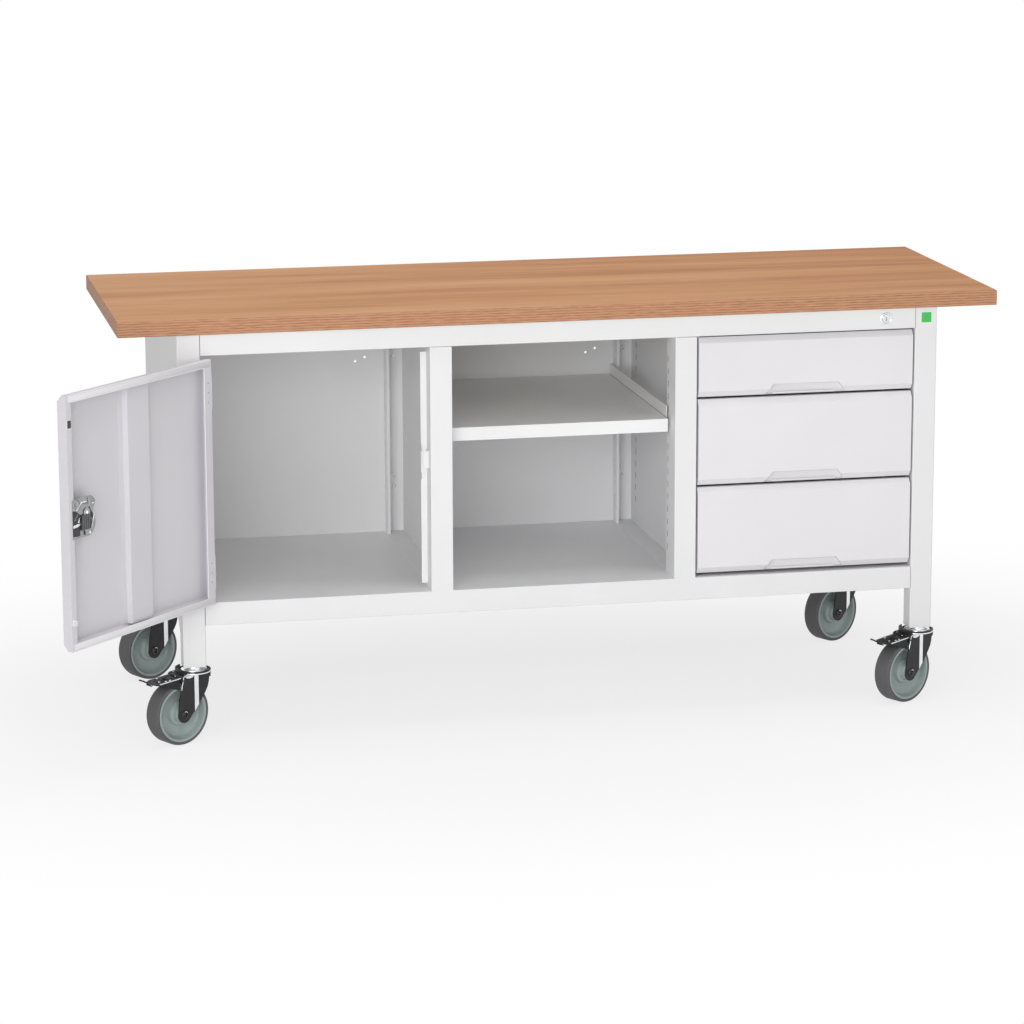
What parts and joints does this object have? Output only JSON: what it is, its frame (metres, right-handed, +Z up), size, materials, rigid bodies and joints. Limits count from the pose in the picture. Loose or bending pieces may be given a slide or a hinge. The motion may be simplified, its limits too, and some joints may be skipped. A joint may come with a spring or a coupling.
{
  "type": "mobile workbench",
  "caption": "Mobile workbench: plywood top on a folded-steel frame with a door cupboard, an open shelf bay and a bank of drawers, on swivel castors with brake pedals.",
  "frame": {"origin": "on the floor, under the centre of the worktop", "axes": "+X to the user's right, towards the drawers; +Y to the back; +Z up"},
  "size_m": [1.8929, 0.9151, 0.84],
  "materials": {
    "worktop_plywood": "clear-lacquered beech multiplex",
    "frame_coat": "light grey powder coat, satin",
    "front_coat": "light grey powder coat, satin",
    "white_coat": "white powder coat, satin",
    "drawer_box_coat": "light grey powder coat, satin",
    "zinc_steel": "bright zinc plated",
    "lock_chrome": "nickel plated",
    "handle_plastic": "black, fine grained",
    "buffer_plastic": "white, soft",
    "badge_plastic": "plain green field with a white edge",
    "fork_coat": "black coat, semi-gloss",
    "pedal_coat": "black coat, semi-gloss",
    "rim_plastic": "grey-green, moulded",
    "tyre_rubber": "dark grey rubber"
  },
  "bodies": {
    "bench": {"worktop": "worktop_plywood", "leg_front_left": "frame_coat", "leg_front_right": "frame_coat", "leg_rear_left": "frame_coat", "leg_rear_right": "frame_coat", "side_panel_left": "frame_coat", "side_panel_right": "frame_coat", "head_rail_front": "frame_coat", "head_rail_rear": "frame_coat", "base_rail_front": "frame_coat", "base_rail_rear": "frame_coat", "floor_panels": "frame_coat", "back_panels": "frame_coat", "partition_left": "frame_coat", "partition_right": "frame_coat", "runner_panel": "frame_coat", "shelf": "white_coat", "shelf_brackets": "zinc_steel", "bracket_hooks": "zinc_steel", "strike_strip": "white_coat", "panel_screws": "zinc_steel", "worktop_screws": "zinc_steel", "lock_housing": "lock_chrome", "badge": "badge_plastic", "hinge_leaves_frame": "zinc_steel", "hinge_pins": "zinc_steel", "slides_fixed": "zinc_steel", "castor_mounts": "zinc_steel"},
    "door": {"door_panel": "front_coat", "door_stiffener": "front_coat", "door_buffer": "buffer_plastic", "hinge_leaves_door": "front_coat", "latch_case": "zinc_steel", "handle_rose": "handle_plastic"},
    "latch": {"latch_cam": "zinc_steel", "door_handle": "handle_plastic"},
    "lock_key": {"lock_barrel": "lock_chrome"},
    "drawer_top": {"drawer_front_top": "front_coat", "drawer_box_top": "drawer_box_coat"},
    "slides_top": {"slides_middle_top": "zinc_steel"},
    "drawer_middle": {"drawer_front_middle": "front_coat", "drawer_box_middle": "drawer_box_coat"},
    "slides_middle": {"slides_middle_middle": "zinc_steel"},
    "drawer_bottom": {"drawer_front_bottom": "front_coat", "drawer_box_bottom": "drawer_box_coat"},
    "slides_bottom": {"slides_middle_bottom": "zinc_steel"},
    "castor_front_left": {"castor_fork_front_left": "fork_coat"},
    "wheel_front_left": {"rim_front_left": "rim_plastic", "tyre_front_left": "tyre_rubber"},
    "pedal_left": {"brake_pedal_left": "pedal_coat"},
    "castor_front_right": {"castor_fork_front_right": "fork_coat"},
    "wheel_front_right": {"rim_front_right": "rim_plastic", "tyre_front_right": "tyre_rubber"},
    "pedal_right": {"brake_pedal_right": "pedal_coat"},
    "castor_rear_left": {"castor_fork_rear_left": "fork_coat"},
    "wheel_rear_left": {"rim_rear_left": "rim_plastic", "tyre_rear_left": "tyre_rubber"},
    "castor_rear_right": {"castor_fork_rear_right": "fork_coat"},
    "wheel_rear_right": {"rim_rear_right": "rim_plastic", "tyre_rear_right": "tyre_rubber"}
  },
  "joints": [
    {"name": "door_hinge", "type": "hinge", "parent": "bench", "child": "door", "pos_m": [-0.71325, -0.2784, 0.5215], "axis": [0, 0, 1], "range_deg": [-41, 134]},
    {"name": "latch_turn", "type": "hinge", "parent": "door", "child": "latch", "pos_m": [-0.98595, -0.56568, 0.538], "axis": [-0.7193, 0.6947, 0], "range_deg": [0, 90]},
    {"name": "lock_turn", "type": "hinge", "parent": "bench", "child": "lock_key", "pos_m": [0.654, -0.275, 0.7863], "axis": [0, -1, 0], "range_deg": [0, 90]},
    {"name": "drawer_top_slide", "type": "slide", "parent": "bench", "child": "drawer_top", "axis": [0, -1, 0], "range_m": [0, 0.45]},
    {"name": "slides_top_follow", "type": "slide", "parent": "bench", "child": "slides_top", "axis": [0, -1, 0], "range_m": [0, 0.225]},
    {"name": "drawer_middle_slide", "type": "slide", "parent": "bench", "child": "drawer_middle", "axis": [0, -1, 0], "range_m": [0, 0.45]},
    {"name": "slides_middle_follow", "type": "slide", "parent": "bench", "child": "slides_middle", "axis": [0, -1, 0], "range_m": [0, 0.225]},
    {"name": "drawer_bottom_slide", "type": "slide", "parent": "bench", "child": "drawer_bottom", "axis": [0, -1, 0], "range_m": [0, 0.45]},
    {"name": "slides_bottom_follow", "type": "slide", "parent": "bench", "child": "slides_bottom", "axis": [0, -1, 0], "range_m": [0, 0.225]},
    {"name": "castor_front_left_swivel", "type": "hinge", "parent": "bench", "child": "castor_front_left", "pos_m": [-0.7375, -0.255, 0.134], "axis": [0, 0, 1], "continuous": true},
    {"name": "wheel_front_left_roll", "type": "hinge", "parent": "castor_front_left", "child": "wheel_front_left", "pos_m": [-0.77398, -0.27581, 0.0625], "axis": [0.4955, -0.8686, 0], "continuous": true},
    {"name": "pedal_left_tip", "type": "hinge", "parent": "castor_front_left", "child": "pedal_left", "pos_m": [-0.77224, -0.27482, 0.1346], "axis": [0.4955, -0.8686, 0], "range_deg": [0, 6]},
    {"name": "castor_front_right_swivel", "type": "hinge", "parent": "bench", "child": "castor_front_right", "pos_m": [0.7375, -0.255, 0.134], "axis": [0, 0, 1], "continuous": true},
    {"name": "wheel_front_right_roll", "type": "hinge", "parent": "castor_front_right", "child": "wheel_front_right", "pos_m": [0.70102, -0.27581, 0.0625], "axis": [0.4955, -0.8686, 0], "continuous": true},
    {"name": "pedal_right_tip", "type": "hinge", "parent": "castor_front_right", "child": "pedal_right", "pos_m": [0.70276, -0.27482, 0.1346], "axis": [0.4955, -0.8686, 0], "range_deg": [0, 6]},
    {"name": "castor_rear_left_swivel", "type": "hinge", "parent": "bench", "child": "castor_rear_left", "pos_m": [-0.7375, 0.255, 0.134], "axis": [0, 0, 1], "continuous": true},
    {"name": "wheel_rear_left_roll", "type": "hinge", "parent": "castor_rear_left", "child": "wheel_rear_left", "pos_m": [-0.77398, 0.23419, 0.0625], "axis": [0.4955, -0.8686, 0], "continuous": true},
    {"name": "castor_rear_right_swivel", "type": "hinge", "parent": "bench", "child": "castor_rear_right", "pos_m": [0.7375, 0.255, 0.134], "axis": [0, 0, 1], "continuous": true},
    {"name": "wheel_rear_right_roll", "type": "hinge", "parent": "castor_rear_right", "child": "wheel_rear_right", "pos_m": [0.70102, 0.23419, 0.0625], "axis": [0.4955, -0.8686, 0], "continuous": true}
  ],
  "couplings": [
    {"joint": "slides_top_follow", "follows": "drawer_top_slide", "ratio": 0.5},
    {"joint": "slides_middle_follow", "follows": "drawer_middle_slide", "ratio": 0.5},
    {"joint": "slides_bottom_follow", "follows": "drawer_bottom_slide", "ratio": 0.5}
  ]
}
